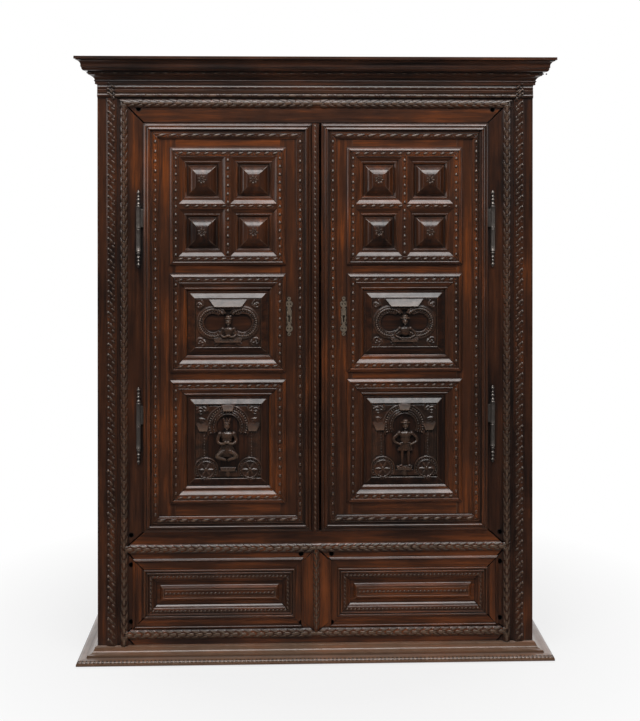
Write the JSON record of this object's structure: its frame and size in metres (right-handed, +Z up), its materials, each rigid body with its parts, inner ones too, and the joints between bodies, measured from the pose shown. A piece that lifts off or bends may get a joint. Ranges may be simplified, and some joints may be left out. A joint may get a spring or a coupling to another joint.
{
  "type": "panelled two-door cabinet",
  "caption": "Tall two-door wooden cabinet with coffered and carved door panels, heavy cornice and plinth, vase hinges, shelves, door lock and slide bolt.",
  "frame": {"origin": "on the floor, at the middle of the overall plan (bottom centre of the bounding box)", "axes": "+Z up, the front and its doors face -Y, +X to the right of someone who faces the front"},
  "size_m": [1.748, 0.674, 2.202],
  "materials": {
    "frame_wood": "dark stained oak, waxed, open grain",
    "moulding_wood": "dark waxed oak, worn on the high edges",
    "carved_panel_wood": "dark waxed oak, carved",
    "inner_boards": "bare softwood boards, unfinished",
    "polished_hinge_steel": "worn grey steel",
    "aged_iron_plate": "pierced iron with a grey-green patina",
    "dark_iron": "forged, oxidised"
  },
  "bodies": {
    "carcase": {"back_boards": "inner_boards", "back_rails": "inner_boards", "cornice_front": "moulding_wood", "cornice_left": "moulding_wood", "cornice_right": "moulding_wood", "floor_boards": "inner_boards", "frieze_moulding": "moulding_wood", "front_bottom_rail": "frame_wood", "front_mid_rail": "frame_wood", "front_post_left": "frame_wood", "front_post_right": "frame_wood", "front_top_rail": "frame_wood", "hinge_frame_halves_left": "polished_hinge_steel", "hinge_frame_halves_right": "polished_hinge_steel", "hinge_pins": "polished_hinge_steel", "joint_pegs": "frame_wood", "lower_mouldings": "moulding_wood", "lower_muntin": "frame_wood", "lower_panel_left": "carved_panel_wood", "lower_panel_right": "carved_panel_wood", "plinth_front": "moulding_wood", "plinth_returns": "moulding_wood", "rear_post_left": "frame_wood", "rear_post_right": "frame_wood", "roof_boards": "inner_boards", "shelf_cleats": "inner_boards", "shelves": "inner_boards", "side_panels_left": "carved_panel_wood", "side_panels_right": "carved_panel_wood", "side_rails_left": "frame_wood", "side_rails_right": "frame_wood"},
    "left_door": {"hinge_door_halves_left": "polished_hinge_steel", "left_door_astragal": "moulding_wood", "left_door_bolt_guides": "dark_iron", "left_door_coffer_bars": "moulding_wood", "left_door_coffer_panels": "carved_panel_wood", "left_door_escutcheon": "aged_iron_plate", "left_door_hinge_stile": "frame_wood", "left_door_meeting_stile": "frame_wood", "left_door_outer_moulding": "moulding_wood", "left_door_panel_mouldings": "moulding_wood", "left_door_rails": "frame_wood", "left_door_square_panel": "carved_panel_wood", "left_door_wide_panel": "carved_panel_wood", "lock_keeper": "dark_iron"},
    "right_door": {"hinge_door_halves_right": "polished_hinge_steel", "lock_case": "dark_iron", "right_door_coffer_bars": "moulding_wood", "right_door_coffer_panels": "carved_panel_wood", "right_door_escutcheon": "aged_iron_plate", "right_door_hinge_stile": "frame_wood", "right_door_meeting_stile": "frame_wood", "right_door_outer_moulding": "moulding_wood", "right_door_panel_mouldings": "moulding_wood", "right_door_rails": "frame_wood", "right_door_square_panel": "carved_panel_wood", "right_door_wide_panel": "carved_panel_wood"},
    "left_door_bolt": {"left_door_bolt": "dark_iron"},
    "lock_bolt": {"lock_bolt": "dark_iron"}
  },
  "joints": [
    {"name": "left_door_hinge", "type": "hinge", "parent": "carcase", "child": "left_door", "pos_m": [-0.65, -0.272, 0.858], "axis": [0, 0, -1], "range_deg": [0, 110]},
    {"name": "right_door_hinge", "type": "hinge", "parent": "carcase", "child": "right_door", "pos_m": [0.65, -0.272, 0.858], "axis": [0, 0, 1], "range_deg": [0, 110]},
    {"name": "left_door_bolt_slide", "type": "slide", "parent": "left_door", "child": "left_door_bolt", "axis": [0, 0, 1], "range_m": [0, 0.015]},
    {"name": "lock_bolt_slide", "type": "slide", "parent": "right_door", "child": "lock_bolt", "axis": [-1, 0, 0], "range_m": [0, 0.018]}
  ]
}
